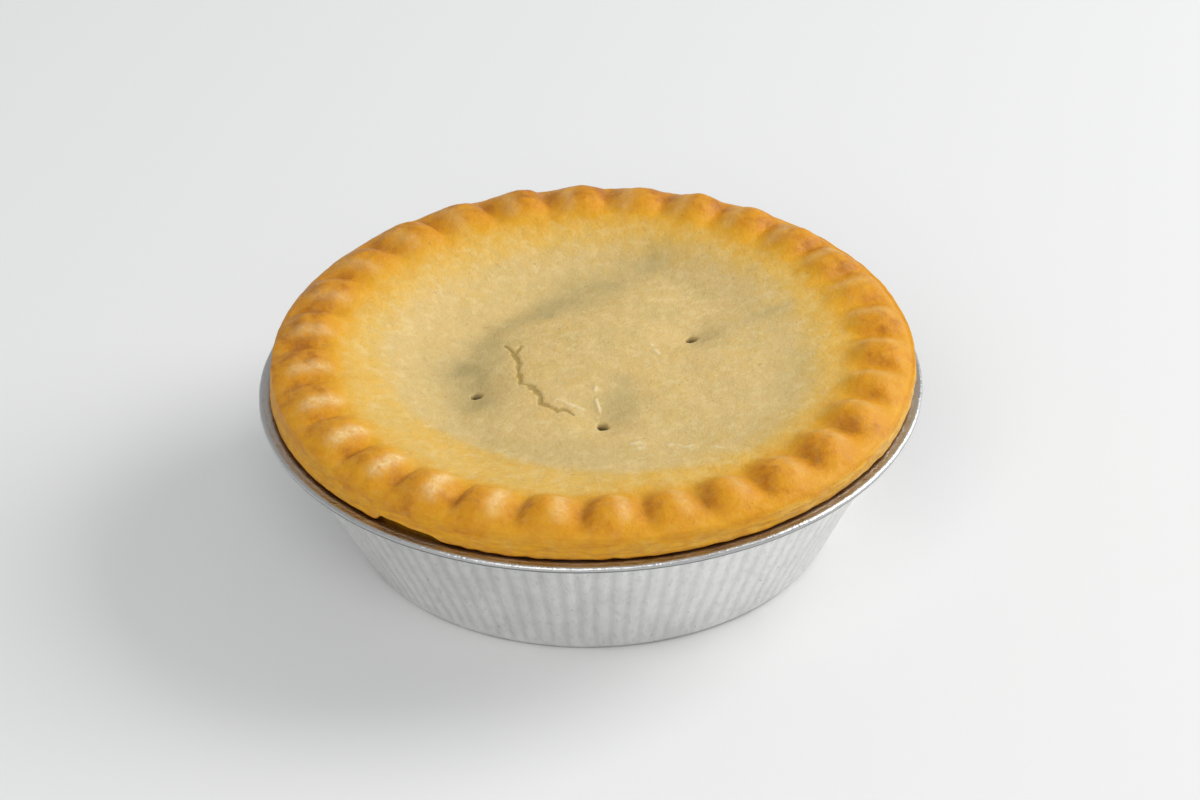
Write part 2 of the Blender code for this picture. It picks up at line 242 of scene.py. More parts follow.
# %% [markdown]
# ## Tray measures
# The tray is pressed from thin aluminium: a flat bottom, a sloping wall with 110 small pleats, a
# flat ledge that carries the crust, and an edge rolled down and under. All measures are in
# millimetres, and the wall is straight, so one function gives its radius at any height.

# %% Tray measures
BASE_RING = 20.0
BASE_RADIUS = 42.1
BASE_CORNER = 1.5
WALL_FOOT_RADIUS = 43.7
WALL_TOP_RADIUS = 56.7
WALL_TOP_Z = 27.2
FOIL = 0.5
FLANGE_Z = 28.75
ROLL_MIDDLE = 59.4
ROLL_RADIUS = 0.6
PLEATS = 110
COLUMNS_IN_PLEAT = 8
PLEAT_DEPTH = 0.5


def wall_radius(height):
    """Outer radius of the tray's wall at a height, between its pleats."""
    share = (height - BASE_CORNER) / (WALL_TOP_Z - BASE_CORNER)
    return WALL_FOOT_RADIUS + (WALL_TOP_RADIUS - WALL_FOOT_RADIUS) * share


print("the wall is", round(wall_radius(0.5 * FLANGE_Z), 1), "mm from the middle at half height")

# %% [markdown]
# ## Tray section
# The section is drawn as four lines that follow each other: up the inside to the ledge, round the
# rolled edge, back under the ledge, and down the outside. The inside is hidden by the pie, so it
# has few points. The outside has a point every 1.6 mm, so that the light runs smoothly down it.

# %% Tray section
INSIDE_TOP_Z = 26.5
INSIDE_SPACING = 4.0
OUTSIDE_TOP_Z = 25.4
OUTSIDE_SPACING = 1.6
ROLL_STEP = 15

inside = [(0.0, FOIL), (BASE_RING, FOIL), (BASE_RADIUS - 0.5, FOIL), (BASE_RADIUS + 0.6, 0.9),
          (wall_radius(2.0) - FOIL, 2.0)]
inside_wall = [(wall_radius(2.6) - FOIL, 2.6), (wall_radius(INSIDE_TOP_Z) - FOIL, INSIDE_TOP_Z)]
inside += section_points(inside_wall, INSIDE_SPACING)
inside += [(56.5, 27.6), (56.75, 28.25), (57.1, 28.6), (57.5, FLANGE_Z), (58.0, FLANGE_Z),
           (58.25, FLANGE_Z + 0.05), (58.5, FLANGE_Z), (58.8, FLANGE_Z - 0.05), (59.1, FLANGE_Z - 0.02)]
roll = []
for degrees in range(90, -121, -ROLL_STEP):
    turn = math.radians(degrees)
    roll_height = FLANGE_Z - ROLL_RADIUS + ROLL_RADIUS * math.sin(turn)
    roll.append((ROLL_MIDDLE + ROLL_RADIUS * math.cos(turn), roll_height))
recess = [(58.85, 27.85), (58.6, 28.1), (58.0, 28.2), (57.5, 28.1), (57.2, 27.8), (57.0, 27.3),
          (56.75, 26.8), (wall_radius(26.0) + 0.1, 26.2), (wall_radius(OUTSIDE_TOP_Z), OUTSIDE_TOP_Z)]
outside_wall = [(wall_radius(OUTSIDE_TOP_Z), OUTSIDE_TOP_Z), (wall_radius(3.0), 3.0)]
outside = section_points(outside_wall, OUTSIDE_SPACING)[1:]
outside += [(wall_radius(2.2), 2.2), (WALL_FOOT_RADIUS - 0.1, 1.2), (WALL_FOOT_RADIUS - 0.5, 0.5),
            (WALL_FOOT_RADIUS - 1.0, 0.12), (BASE_RADIUS, 0.0), (BASE_RING, 0.0), (0.0, 0.0)]
tray = turn_section(inside + roll + recess + outside, PLEATS, COLUMNS_IN_PLEAT)
print("tray has", len(tray.verts), "vertices")

# %% [markdown]
# ## Pleats
# A press folds the foil where the wall has too much of it, so the pleats are deepest halfway up and
# fade at the foot and under the ledge. A cosine round the tray gives them. A noise makes some of
# them deeper and bends their lines, and each vertex notes, for the finish to read, where the foil is
# rolled, where painted shade lies in a crease or under the roll, and where a painted reflection of
# the crust with painted shade lies on the ledge.

# %% Pleats
PLEATS_BEGIN_Z = (0.3, 3.0)
PLEATS_END_Z = (24.5, 27.2)
WALL_UNEVENNESS = 0.09
RIM_UNEVENNESS = 0.06
RIM_BOTTOM_Z = 26.0
FAINT_LEDGE_AT = math.radians(-20.0)
FAINT_LEDGE_WIDTH = math.radians(60.0)

rim = tray.verts.layers.float.new("rim")
shaded = tray.verts.layers.float.new("shaded")
crust_reflection_and_shade = tray.verts.layers.float.new("crust_reflection_and_shade")
crease_shade = tray.verts.layers.float.new("crease_shade")


def pleat_share(height):
    """How much of the pleats' depth shows at a height on the wall."""
    return smoothstep(*PLEATS_BEGIN_Z, height) * (1.0 - smoothstep(*PLEATS_END_Z, height))


for vert in tray.verts:
    x, y, z = vert.co / MM
    radius = math.hypot(x, y)
    if radius < BASE_RADIUS * 0.5:
        continue
    angle = math.atan2(y, x)
    pleat = angle / (2.0 * math.pi) * PLEATS
    uneven = 0.75 + 0.5 * wobble(math.floor(pleat + 0.5) * 3.7, 0.0, 0.0, 1.0)
    fold = math.cos(2.0 * math.pi * (pleat + 0.12 * wobble(pleat, z / 9.0, 0.0, 1.0, 4.0)))
    moved = 0.5 * PLEAT_DEPTH * uneven * fold * pleat_share(z)
    # painted shade: the foil is darker in the crease of each pleat
    vert[crease_shade] = (1.0 - smoothstep(-0.9, 0.1, fold)) * pleat_share(z)
    dented = WALL_UNEVENNESS * wobble(x, y, z, 7.0, 2.0)
    moved += dented * smoothstep(1.0, 4.0, z) * (1.0 - smoothstep(25.0, 28.0, z))
    if z > RIM_BOTTOM_Z:
        moved += RIM_UNEVENNESS * wobble(x, y, z, 5.0, 8.0) - RIM_UNEVENNESS
        vert[rim] = smoothstep(27.0, 27.6, z)
        vert[shaded] = (1.0 - smoothstep(27.8, 28.25, z)) * smoothstep(56.9, 57.6, radius)
        # painted reflection of the crust and painted shade on the ledge beside it, fainter on the right
        # front
        faint_ledge = bump(angle_between(angle, FAINT_LEDGE_AT), FAINT_LEDGE_WIDTH)
        on_ledge = smoothstep(28.0, 28.5, z) * (1.0 - smoothstep(58.0, 59.2, radius))
        vert[crust_reflection_and_shade] = on_ledge * (1.0 - 0.6 * faint_ledge)
    scale = (radius + moved) / radius
    vert.co = (x * scale * MM, y * scale * MM, z * MM)
print("the rolled edge reaches", round(max(v.co.xy.length for v in tray.verts) / MM, 2), "mm")

# %% [markdown]
# ## Helpers for finishes
# A procedural finish is a small tree of nodes. These helpers start a material, lay a noise pattern
# in the object's own coordinates, and read a value that the mesh carries at each vertex. Nothing
# needs an unwrapped picture that way, and the grain stays the same size on every piece.

# %% Helpers for finishes


def new_finish(name):
    """A node material, with its tree, shader and object coordinates."""
    finish = bpy.data.materials.new(name)
    finish.use_nodes = True
    tree = finish.node_tree
    coords = tree.nodes.new("ShaderNodeTexCoord")
    return finish, tree, tree.nodes["Principled BSDF"], coords.outputs["Object"]


def add_noise(tree, place, size_mm, detail=3.0, roughness=0.55, stretch=(1.0, 1.0, 1.0)):
    """A noise pattern with grains of about the given size."""
    mapping = tree.nodes.new("ShaderNodeMapping")
    mapping.inputs["Scale"].default_value = stretch
    tree.links.new(place, mapping.inputs["Vector"])
    grain = tree.nodes.new("ShaderNodeTexNoise")
    grain.inputs["Scale"].default_value = 1.0 / (size_mm * MM)
    grain.inputs["Detail"].default_value = detail
    grain.inputs["Roughness"].default_value = roughness
    tree.links.new(mapping.outputs["Vector"], grain.inputs["Vector"])
    return grain.outputs["Fac"]


def add_attribute(tree, name):
    """A value that the mesh carries at each vertex."""
    reader = tree.nodes.new("ShaderNodeAttribute")
    reader.attribute_name = name
    return reader.outputs["Fac"]


print("a pattern with 2 mm grains has the scale", 1.0 / (2.0 * MM))

# %% [markdown]
# ## Helpers for mixing
# The rest of a finish is mixing: joining two values, stretching the useful part of a noise, turning
# a value into a colour, and laying one colour over another. Bump layers are chained, each with its
# depth in millimetres, so that coarse and fine relief add up.

# %% Helpers for mixing


def add_math(tree, operation, first, second, clamp=False):
    """Two values joined by one sum, product or other operation."""
    node = tree.nodes.new("ShaderNodeMath")
    node.operation = operation
    node.use_clamp = clamp
    tree.links.new(first, node.inputs[0])
    tree.links.new(second, node.inputs[1])
    return node.outputs["Value"]


def add_range(tree, value, low, high, out_low=0.0, out_high=1.0):
    """Stretches the part of a value between low and high."""
    node = tree.nodes.new("ShaderNodeMapRange")
    tree.links.new(value, node.inputs["Value"])
    limits = {"From Min": low, "From Max": high, "To Min": out_low, "To Max": out_high}
    for name, number in limits.items():
        node.inputs[name].default_value = number
    return node.outputs["Result"]


def add_ramp(tree, value, stops):
    """A colour ramp from (position, colour) stops."""
    node = tree.nodes.new("ShaderNodeValToRGB")
    ramp = node.color_ramp
    while len(ramp.elements) < len(stops):
        ramp.elements.new(0.5)
    for element, (position, colour) in zip(ramp.elements, stops):
        element.position = position
        element.color = (*colour, 1.0)
    tree.links.new(value, node.inputs["Fac"])
    return node.outputs["Color"]


def add_tint(tree, base, tint, amount):
    """Lays a tint over a colour where the amount says."""
    node = tree.nodes.new("ShaderNodeMix")
    node.data_type = "RGBA"
    tree.links.new(amount, node.inputs[0])
    tree.links.new(base, node.inputs[6])
    node.inputs[7].default_value = (*tint, 1.0)
    return node.outputs[2]


def add_bump(tree, shader, layers):
    """Chains (height, depth in millimetres) layers of bump into the shader."""
    normal = None
    for height, depth in layers:
        node = tree.nodes.new("ShaderNodeBump")
        node.inputs["Strength"].default_value = 1.0
        node.inputs["Distance"].default_value = depth * MM
        tree.links.new(height, node.inputs["Height"])
        if normal is not None:
            tree.links.new(normal, node.inputs["Normal"])
        normal = node.outputs["Normal"]
    tree.links.new(normal, shader.inputs["Normal"])


print("finish helpers ready")

# %% [markdown]
# ## Foil finish
# Rolled aluminium is bright but not a mirror: rolling leaves fine scratches that blur what it
# reflects, and handling leaves small dents and grey specks. Wide clouds drive the roughness, and
# upright streaks and dents drive the bump. The vertex notes then tint it: painted shade in the creases,
# a dulled rim, painted crust reflection and shade on the ledge, and painted deep shade under the roll.

# %% Foil finish
foil, tree, shader, place = new_finish("rolled_foil")
shader.inputs["Metallic"].default_value = 1.0
clouds = add_noise(tree, place, 6.0, 4.0)
upright_streaks = add_noise(tree, place, 0.9, 4.0, 0.65, (1.0, 1.0, 0.05))
dents = add_noise(tree, place, 2.6, 2.0)
specks = add_range(tree, add_noise(tree, place, 1.5, 2.0, 0.6), 0.72, 0.76)
foil_colour = add_ramp(tree, clouds, [(0.3, (0.76, 0.76, 0.745)), (0.7, (0.86, 0.86, 0.85))])
streaked_foil = add_range(tree, upright_streaks, 0.5, 0.7, 0.0, 0.6)
foil_colour = add_tint(tree, foil_colour, (0.60, 0.60, 0.59), streaked_foil)
foil_colour = add_tint(tree, foil_colour, (0.40, 0.40, 0.40), specks)
# the notes tint the foil: painted shade in the creases, a dulled rim, painted crust reflection and shade on
# the ledge, and painted shade under the roll
for note, tint, most in (
    ("crease_shade", (0.50, 0.50, 0.49), 0.28),
    ("rim", (0.50, 0.50, 0.49), 0.75),
    ("crust_reflection_and_shade", (0.42, 0.31, 0.22), 0.65),
    ("shaded", (0.07, 0.08, 0.09), 1.0),
):
    amount = add_range(tree, add_attribute(tree, note), 0.0, 1.0, 0.0, most)
    foil_colour = add_tint(tree, foil_colour, tint, amount)
tree.links.new(foil_colour, shader.inputs["Base Color"])
wall_roughness = add_range(tree, clouds, 0.3, 0.7, 0.30, 0.42)
rim_polish = add_range(tree, add_attribute(tree, "rim"), 0.0, 1.0, 0.0, -0.04)
tree.links.new(add_math(tree, "ADD", wall_roughness, rim_polish), shader.inputs["Roughness"])
add_bump(tree, shader, [(upright_streaks, 0.20), (dents, 0.14)])
show_piece(tray, "foil_tray_fine", foil, "foil_tray")

# %% [markdown]
# ## Lid measures
# The lid is a disc of pastry that has sunk in the oven: highest at the crimped edge, low in a
# valley that runs round a flat hump, and pricked with three vent holes. Everything on it is a
# height above a place, so a section is spun flat, with enough rings for the smallest form, and each
# vertex is lifted to its height later. These functions give that height without the crimps.

# %% Lid measures
CRUST_RADIUS = 58.2
CRUST_OFFSET = (0.6, 0.5)
EDGE_SECTION = (
    (46.0, 34.0), (50.0, 34.1), (53.0, 34.05), (55.0, 33.9), (56.5, 33.55), (57.5, 33.05), (58.0, 32.4),
    (58.2, 31.7), (58.2, 31.0), (58.15, 30.4), (58.15, 29.8), (58.05, 29.35), (57.75, 29.06), (57.2, 29.0),
)
CRUST_UNDERSIDE_Z = 29.0
BACK_LIFT = 2.3
BACK_LIFT_AT = math.radians(100.0)
LID_RIM_RADIUS = 46.0
HUMP_X = 6.0
HUMP_Y = 2.0
HUMP_Z = 31.9
VALLEY_RADIUS = 28.0
VALLEY_Z = 30.8
VALLEY_TILT = 2.2
VALLEY_DEEPEST_AT = math.radians(165.0)
BACK_BULGE = 4.0
BACK_BULGE_AT = math.radians(82.0)
BACK_BULGE_WIDTH = math.radians(22.0)
FRONT_BULGE = 6.0
FRONT_BULGE_AT = math.radians(228.0)
FRONT_BULGE_WIDTH = math.radians(48.0)
RIGHT_NARROWING = 11.0
RIGHT_NARROWING_AT = math.radians(8.0)
RIGHT_NARROWING_WIDTH = math.radians(42.0)
VALLEY_SOFTNESS = 1.8
BACK_LIFT_BEGINS = 32.0
BACK_LIFT_FULL = 48.0
VENTS = ((-20.5, -4.1), (2.0, -17.9), (18.5, 9.6))


def on_line(points, value):
    """Height of a bent line of (place, height) points at a place."""
    for (x0, z0), (x1, z1) in zip(points, points[1:]):
        if value <= x1:
            return z0 + (z1 - z0) * (value - x0) / (x1 - x0)
    return points[-1][1]


EDGE_TOP = [point for point in EDGE_SECTION if point[1] > 32.0]


def rim_height(radius):
    """Height of the crust's top between the crimps, from the lid's rim outwards, at the front."""
    return on_line(EDGE_TOP, max(radius, LID_RIM_RADIUS))


def back_lift(angle):
    """How much higher the crust stands at an angle than at the front."""
    return BACK_LIFT * 0.5 * (1.0 + math.cos(angle - BACK_LIFT_AT))


def valley_distance(around):
    """Distance of the valley from the hump's middle: far at the front left, near on the right."""
    back = BACK_BULGE * bump(angle_between(around, BACK_BULGE_AT), BACK_BULGE_WIDTH)
    front = FRONT_BULGE * bump(angle_between(around, FRONT_BULGE_AT), FRONT_BULGE_WIDTH)
    right = RIGHT_NARROWING * bump(angle_between(around, RIGHT_NARROWING_AT), RIGHT_NARROWING_WIDTH)
    return VALLEY_RADIUS + back + front - right


def lid_height(x, y):
    """Height of the lid at a place, without the crimps."""
    radius = math.hypot(x, y)
    around = math.atan2(y - HUMP_Y, x - HUMP_X)
    valley_radius = valley_distance(around)
    past_valley = math.hypot(x - HUMP_X, y - HUMP_Y) - valley_radius
    outward = 0.5 * (past_valley + math.hypot(past_valley, VALLEY_SOFTNESS))
    inward = min(0.5 * (-past_valley + math.hypot(past_valley, VALLEY_SOFTNESS)), valley_radius)
    valley = VALLEY_Z - VALLEY_TILT * math.cos(around - VALLEY_DEEPEST_AT)
    hump = (HUMP_Z - valley) * (1.0 - (1.0 - inward / valley_radius) ** 2)
    share = outward / (outward + max(LID_RIM_RADIUS - radius, 0.0) + 1e-6)
    slope = (rim_height(radius) - valley) * (0.7 * share + 0.3 * smoothstep(0.0, 1.0, share))
    lifted = back_lift(math.atan2(y, x)) * smoothstep(BACK_LIFT_BEGINS, BACK_LIFT_FULL, radius)
    return valley + hump * (1.0 - share) + slope + lifted


print("the lid sinks from", rim_height(50.0), "to", round(lid_height(-22.0, 5.0), 1), "mm")

# %% [markdown]
# ## Crimp measures
# A baker presses the two layers of pastry together with a finger or a fork, all the way round. That
# leaves rounded ridges, leaning a little, with narrow grooves between them. Handwork is uneven, so
# the spacing drifts round the pie, the grooves lean at the back left, and some crimps are softer.
# All of it is one height function of the radius and the place across a crimp.

# %% Crimp measures
CRIMPS = 29
COLUMNS_IN_CRIMP = 22
CRIMP_DEPTH = 2.15
CRIMP_INNER_RADIUS = 44.5
CRIMP_FULL_RADIUS = 50.5
CRIMP_FADE_RADIUS = 52.5
CRIMP_NARROWING = 1.0
GROOVE_START = math.radians(-8.8)
GROOVE_DRIFT = math.radians(3.8)
GROOVE_DRIFT_PHASE = math.radians(84.0)
GROOVE_CROWDING = math.radians(1.8)
GROOVE_CROWDING_AT = math.radians(305.0)
GROOVE_CROWDING_WIDTH = math.radians(26.0)
GROOVE_SLANT = math.radians(2.2)
GROOVE_SLANT_AT = math.radians(145.0)
GROOVE_SLANT_WIDTH = math.radians(32.0)
GROOVE_MIDDLE_RADIUS = 50.0
GROOVE_SOFTNESS = 0.12
GROOVE_INNER_RADIUS = 44.0
RIDGE_ROUNDING = 2.2
RIDGE_LEAN = 0.72
SOFT_LEFT = 0.45
SOFT_LEFT_AT = math.radians(187.0)
SOFT_LEFT_WIDTH = math.radians(22.0)
SOFT_RIGHT = 0.3
SOFT_RIGHT_AT = math.radians(15.0)
SOFT_RIGHT_WIDTH = math.radians(20.0)


def groove_angle(phase):
    """Direction of a place in the row of crimps; phase grows evenly by one turn round the pie."""
    crowding = GROOVE_CROWDING * bump(angle_between(phase, GROOVE_CROWDING_AT), GROOVE_CROWDING_WIDTH)
    return phase + GROOVE_START + GROOVE_DRIFT * math.cos(phase + GROOVE_DRIFT_PHASE) - crowding


def groove_slant(angle, radius):
    """How far a groove leans round the pie at a radius; only those at the back left do."""
    lean = GROOVE_SLANT * bump(angle_between(angle, GROOVE_SLANT_AT), GROOVE_SLANT_WIDTH)
    outward = max(radius, GROOVE_INNER_RADIUS) - GROOVE_MIDDLE_RADIUS
    return lean * outward / (CRUST_RADIUS - GROOVE_MIDDLE_RADIUS)


def crimp_strength(crimp, angle):
    """How deep one crimp is pressed: uneven, soft on the far left and on the right."""
    uneven = 1.0 + 0.12 * math.sin(2.4 * crimp) + 0.08 * math.sin(5.1 * crimp + 1.0)
    soft_left = SOFT_LEFT * bump(angle_between(angle, SOFT_LEFT_AT), SOFT_LEFT_WIDTH)
    soft_right = SOFT_RIGHT * bump(angle_between(angle, SOFT_RIGHT_AT), SOFT_RIGHT_WIDTH)
    return uneven * (1.0 - soft_left - soft_right)


def ridge(share):
    """Height across one crimp, 0 in the grooves on both sides and 1 in the middle."""
    leaning = share ** RIDGE_LEAN
    from_groove = 2.0 * min(leaning, 1.0 - leaning)
    from_groove = math.hypot(from_groove, GROOVE_SOFTNESS) - GROOVE_SOFTNESS
    return 1.0 - (1.0 - from_groove) ** RIDGE_ROUNDING


def crimp_height(radius, share, strength):
    """Height that a crimp adds above its grooves: an egg shape, narrow at both ends."""
    rise = smoothstep(CRIMP_INNER_RADIUS, CRIMP_FULL_RADIUS, radius)
    fade = 1.0 - smoothstep(CRIMP_FADE_RADIUS, CRUST_RADIUS + 0.4, radius)
    length = rise * fade
    return CRIMP_DEPTH * strength * length * ridge(share) ** (1.0 + CRIMP_NARROWING * (1.0 - length))


print("a crimp is", round(2.0 * math.pi * CRUST_RADIUS / CRIMPS, 1), "mm wide")

# %% [markdown]
# ## Vents and crack
# These are the marks that make the pie look real. A vent is a small funnel in a soft dimple, where
# the cook pricked the dough to let steam out. The crack opened as the lid dried. It is a bent line
# whose width changes along the way: each point carries its half width, and a noise frays the
# border, so that no stretch of it is straight.

# %% Vents and crack
DIMPLE_RADIUS = 4.5
DIMPLE_DEPTH = 1.2
VENT_RADIUS = 0.95
VENT_DEPTH = 3.2
CRACK_DEPTH = 0.28
CRACK_PATH = (
    (-15.5, 11.0, 0.1), (-14.0, 8.0, 0.22), (-13.0, 4.0, 0.42), (-13.0, 0.0, 0.26), (-12.5, -3.5, 0.4),
    (-11.5, -4.0, 0.3), (-10.5, -5.0, 0.65), (-9.0, -8.5, 0.3), (-9.0, -10.5, 0.5), (-6.0, -13.5, 0.3),
    (-5.0, -13.0, 0.2), (-3.0, -15.0, 0.1),
)
CRACK_BRANCH = ((-12.5, 10.0, 0.15), (-13.5, 7.0, 0.25))


def distance_to_line(x, y, line):
    """Distance from a place to a bent line of (x, y, width) points, and the line's width there."""
    nearest, width = 1e9, 0.0
    for (x0, y0, w0), (x1, y1, w1) in zip(line, line[1:]):
        dx, dy = x1 - x0, y1 - y0
        t = min(max(((x - x0) * dx + (y - y0) * dy) / (dx * dx + dy * dy), 0.0), 1.0)
        away = math.hypot(x - x0 - t * dx, y - y0 - t * dy)
        if away < nearest:
            nearest, width = away, w0 + (w1 - w0) * t
    return nearest, width


def vent_drop(x, y):
    """Depth of the dimples and holes at a place, and how far inside a hole it is."""
    drop, hole = 0.0, 0.0
    for vent_x, vent_y in VENTS:
        away = math.hypot(x - vent_x, y - vent_y)
        if away < 3.0 * DIMPLE_RADIUS:
            drop += DIMPLE_DEPTH * bump(away, DIMPLE_RADIUS)
            away += 0.25 * wobble(x, y, 0.0, 0.9, 18.0)
            inside_hole = 1.0 - smoothstep(0.3 * VENT_RADIUS, 1.3 * VENT_RADIUS, away)
            drop += VENT_DEPTH * inside_hole
            hole = max(hole, inside_hole)
    return drop, hole


def crack_opening(x, y):
    """How open the crack is at a place, 0 to 1."""
    if not (-20.0 < x < 0.0 and -18.0 < y < 14.0):
        return 0.0
    frayed = 0.45 * wobble(x, y, 0.0, 1.3, 5.0) + 0.25 * wobble(x, y, 0.0, 0.6, 7.0)
    opening = 0.0
    for line in (CRACK_PATH, CRACK_BRANCH):
        away, half_width = distance_to_line(x, y, line)
        half_width *= 1.1 + 1.1 * wobble(x, y, 0.0, 1.6, 19.0)
        away += frayed * half_width
        opening = max(opening, 1.0 - smoothstep(0.75 * half_width, 1.2 * half_width + 0.15, away))
    return opening


crack_length = sum(math.dist(a[:2], b[:2]) for a, b in zip(CRACK_PATH, CRACK_PATH[1:]))
print("the crack is", round(crack_length), "mm long")

# %% [markdown]
# ## Damp places with painted shade, flakes and the chipped edge
# Gravy steams the lid from below, so the pastry stays grey where it lies in the creases. The same
# grey-green tint also paints the shade that falls in the creases, in the valley and round the vents.
# Where it has dried it lifts in thin pale flakes. Both are drawn as bent lines again. At the front
# left the lower edge of the crust has lost a chip, with an abrupt end and a long shallow one.

# %% Damp and shaded places, flakes and the chipped edge
# each line: how strong, then (x, y, width) points; grey damp pastry, also painted shade along the creases,
# the valley and round the vents
DAMP_AND_SHADE_LINES = (
    (0.9, ((-20.5, -7.0, 4.5), (-22.5, 3.0, 5.0), (-17.5, 16.0, 3.0), (-9.0, 22.5, 2.6), (-2.0, 27.0, 4.5),
           (5.0, 31.0, 3.5), (12.0, 35.0, 2.5))),
    (0.8, ((-21.5, -5.0, 3.5), (-22.0, 5.0, 4.5))),
    (0.9, ((-8.0, 21.5, 1.8), (-3.0, 24.5, 2.0))),
    (0.8, ((4.0, -15.5, 2.6), (6.5, -10.0, 3.0), (6.0, -5.0, 2.0))),
    (0.5, ((21.0, 9.0, 2.4), (28.0, 12.0, 1.8), (36.0, 15.5, 1.4))),
    (0.4, ((30.0, -28.0, 3.5), (36.0, -18.0, 4.0), (39.0, -5.0, 3.5))),
    (0.35, ((-24.0, -15.0, 4.0), (-15.0, -25.0, 4.0), (0.0, -28.0, 4.0))),
)
FLAKE_LINES = (
    ((5.0, -25.0, 0.3), (8.5, -26.5, 0.7), (11.0, -26.0, 0.5), (19.0, -28.5, 0.5), (25.0, -30.5, 0.2)),
    ((1.0, -7.0, 0.4), (0.5, -10.0, 0.6), (1.5, -13.0, 0.5), (1.0, -15.0, 0.3)),
    ((-6.0, -10.5, 0.9), (-4.5, -12.0, 0.7), (-1.5, -13.5, 0.8)),
    ((11.0, 7.0, 0.5), (12.5, 3.5, 0.6)),
)
FLAKE_HEIGHT = 0.2
FLAKE_REACH = 2.5
CHIP_FROM = math.radians(229.0)
CHIP_TO = math.radians(243.0)
CHIP_HEIGHT = 1.2
CHIP_STEEP_END = 0.1
CHIP_GENTLE_END = 0.8
CHIP_SLOPE = 0.35


def damp_and_shade_amount(x, y):
    """How damp and grey the pastry is at a place, with the painted shade of the creases and valley."""
    damp_and_shade_here = 0.0
    x += 1.8 * wobble(x, y, 0.0, 5.0, 11.0)
    y += 1.8 * wobble(x, y, 0.0, 5.0, 12.0)
    for strength, line in DAMP_AND_SHADE_LINES:
        away, width = distance_to_line(x, y, line)
        more = strength * bump(away, 1.25 * width)
        damp_and_shade_here = max(damp_and_shade_here, more) + 0.35 * min(damp_and_shade_here, more)
    return damp_and_shade_here * (0.85 + 0.5 * wobble(x, y, 0.0, 6.0, 13.0))


def flakiness(x, y):
    """How much a thin flake stands up at a place."""
    flake = 0.0
    bent = 1.3 * wobble(x, y, 0.0, 2.2, 9.0)
    for line in FLAKE_LINES:
        away, width = distance_to_line(x, y + bent, line)
        if away < FLAKE_REACH:
            patchy = smoothstep(-0.35, 0.25, wobble(x, y, 0.0, 1.6, 10.0))
            flake = max(flake, patchy * bump(away, 0.75 * width))
    return flake


def underside_rise(angle):
    """How far the lower edge of the crust is raised, where it has lost a chip."""
    share = (angle % (2.0 * math.pi) - CHIP_FROM) / (CHIP_TO - CHIP_FROM)
    chip = smoothstep(0.0, CHIP_STEEP_END, share) * (1.0 - smoothstep(CHIP_GENTLE_END, 1.0, share))
    return CHIP_HEIGHT * chip * (1.0 - CHIP_SLOPE * share)


print("damp by the first vent:", round(damp_and_shade_amount(-20.0, -5.0), 2))

# %% [markdown]
# ## Turn the pie
# The rings lie close together where the crack, the vents and the crimps are, and far apart in the
# hidden case. While a vertex is placed we also note how browned and how damp the pastry is there,
# and where shade is painted, as vertex attributes that the finish reads later.

# %% Turn the pie
LID_DATUM = 45.0
RING_SPACINGS = ((7.0, 24.0, 0.32), (24.0, 42.0, 0.9), (42.0, 56.0, 0.45), (56.0, 58.0, 0.25))
EDGE_BEGINS_Z = 32.2
EDGE_SPACING = 0.35
CASE_CLEARANCE = 0.5
CASE_BOTTOM_CLEARANCE = 0.35
CASE_SHOULDER_Z = 27.4
CASE_TOP_Z = 26.0
CASE_FOOT_Z = 2.6
CASE_CORNER = 1.6

ring_radii = [0.0, 1.5, 3.0, 4.5, 6.0, 7.0]
for start, stop, spacing in RING_SPACINGS:
    rings = math.ceil((stop - start) / spacing)
    ring_radii += [start + (stop - start) * i / rings for i in range(1, rings + 1)]
edge = section_points([point for point in EDGE_SECTION if point[1] < EDGE_BEGINS_Z], EDGE_SPACING)
inset = FOIL + CASE_CLEARANCE
case_bottom = FOIL + CASE_BOTTOM_CLEARANCE
case = [(wall_radius(CASE_SHOULDER_Z) - inset, CRUST_UNDERSIDE_Z),
        (wall_radius(CASE_TOP_Z) - inset, CASE_TOP_Z), (wall_radius(CASE_FOOT_Z) - inset, CASE_FOOT_Z),
        (BASE_RADIUS - CASE_CORNER, case_bottom), (BASE_RING, case_bottom), (0.0, case_bottom)]
columns = CRIMPS * COLUMNS_IN_CRIMP
lid = [(radius, LID_DATUM) for radius in ring_radii]
pie = turn_section(lid + edge + case, CRIMPS, COLUMNS_IN_CRIMP)
browned = pie.verts.layers.float.new("browned")
damp_and_shade = pie.verts.layers.float.new("damp_and_shade")
painted_hole_shade = pie.verts.layers.float.new("painted_hole_shade")
cracked = pie.verts.layers.float.new("cracked")
flaky = pie.verts.layers.float.new("flaky")
crest = pie.verts.layers.float.new("crest")
pale_and_highlight = pie.verts.layers.float.new("pale_and_highlight")
side = pie.verts.layers.float.new("side")
print("pie has", len(pie.verts), "vertices in", len(ring_radii), "lid rings")

# %% [markdown]
# ## How browned it is
# The oven browns what stands up and what is thin, so the crimps are gold and the sunken lid stays
# pale. The gold reaches in from the edge by a different width on each side: most at the front left,
# and a little at the back, on the right and on the left. One flank of each crimp is paler, partly
# from a lighter bake and partly as a painted highlight on the flank that faces the light, most of all
# at the front left. Functions of the place say this better than a painted picture would, since they
# stay right when a measure changes.

# %% How browned it is
GOLD_START = 38.0
GOLD_REACH_FRONT_LEFT = 8.5
GOLD_REACH_BACK = 3.0
GOLD_REACH_RIGHT = 3.0
GOLD_REACH_LEFT = 2.5
GOLD_FRONT_LEFT_AT = math.radians(240.0)
GOLD_BACK_AT = math.radians(95.0)
GOLD_LEFT_AT = math.radians(175.0)
GOLD_WIDE = math.radians(48.0)
GOLD_NARROW = math.radians(45.0)
PALE_HIGHLIGHT_AT = math.radians(225.0)
PALE_HIGHLIGHT_WIDTH = math.radians(45.0)
PALE_HIGHLIGHT_SHARE = 0.62


